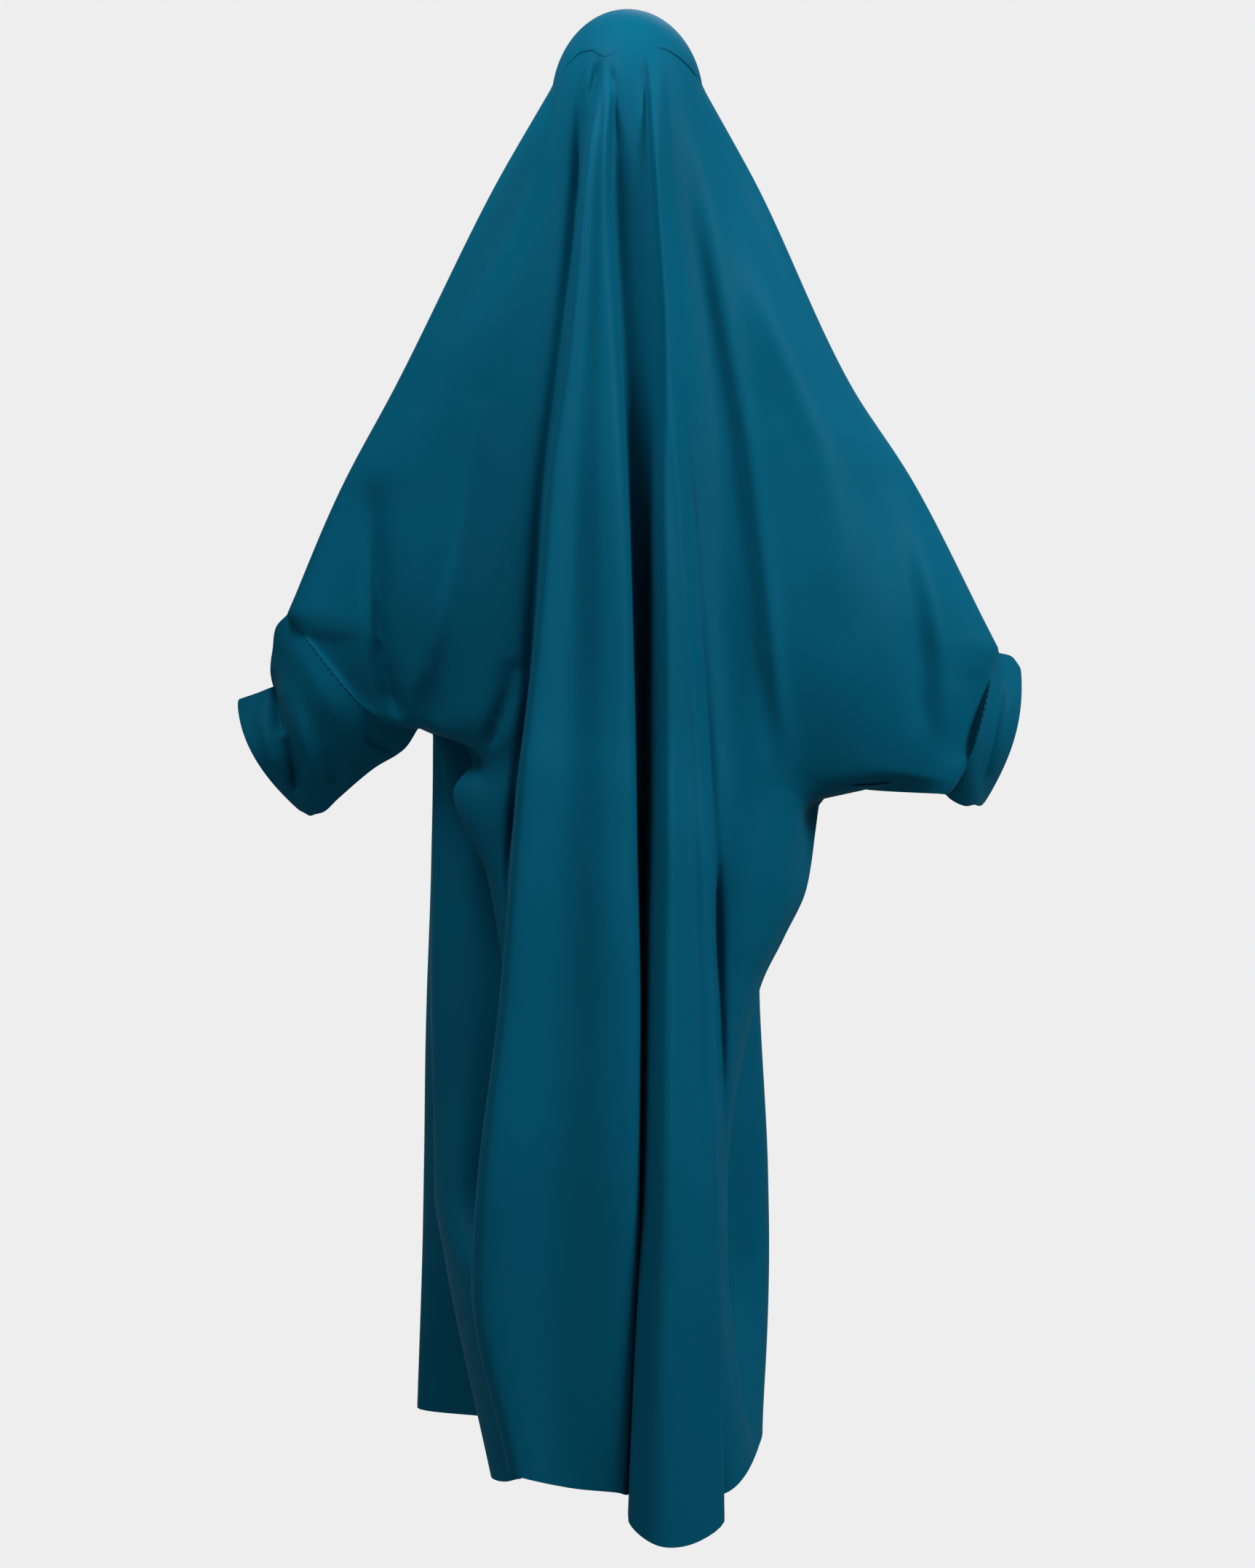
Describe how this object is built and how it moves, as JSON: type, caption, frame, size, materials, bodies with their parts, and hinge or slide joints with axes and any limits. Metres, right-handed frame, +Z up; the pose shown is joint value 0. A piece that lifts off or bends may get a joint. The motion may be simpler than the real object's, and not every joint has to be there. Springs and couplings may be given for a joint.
{
  "type": "jilbab",
  "caption": "Overhead jilbab: one wide head-to-hem cloth with a cap, pleated back, batwing sides, short sewn-on sleeves and cuffs, draped as worn.",
  "frame": {"origin": "where the crown of the head bears inside the cap", "axes": "+Z up, +Y towards the face opening, +X towards the wearer's right-hand side as the back is seen from -Y"},
  "size_m": [0.8849, 0.4601, 1.6514],
  "materials": {
    "crepe": "smooth heavy crepe, soft sheen"
  },
  "bodies": {
    "root": {"hood_cap": "crepe", "back_panel": "crepe", "front_panel": "crepe", "left_sleeve": "crepe", "right_sleeve": "crepe", "left_cuff": "crepe", "right_cuff": "crepe"}
  },
  "joints": []
}
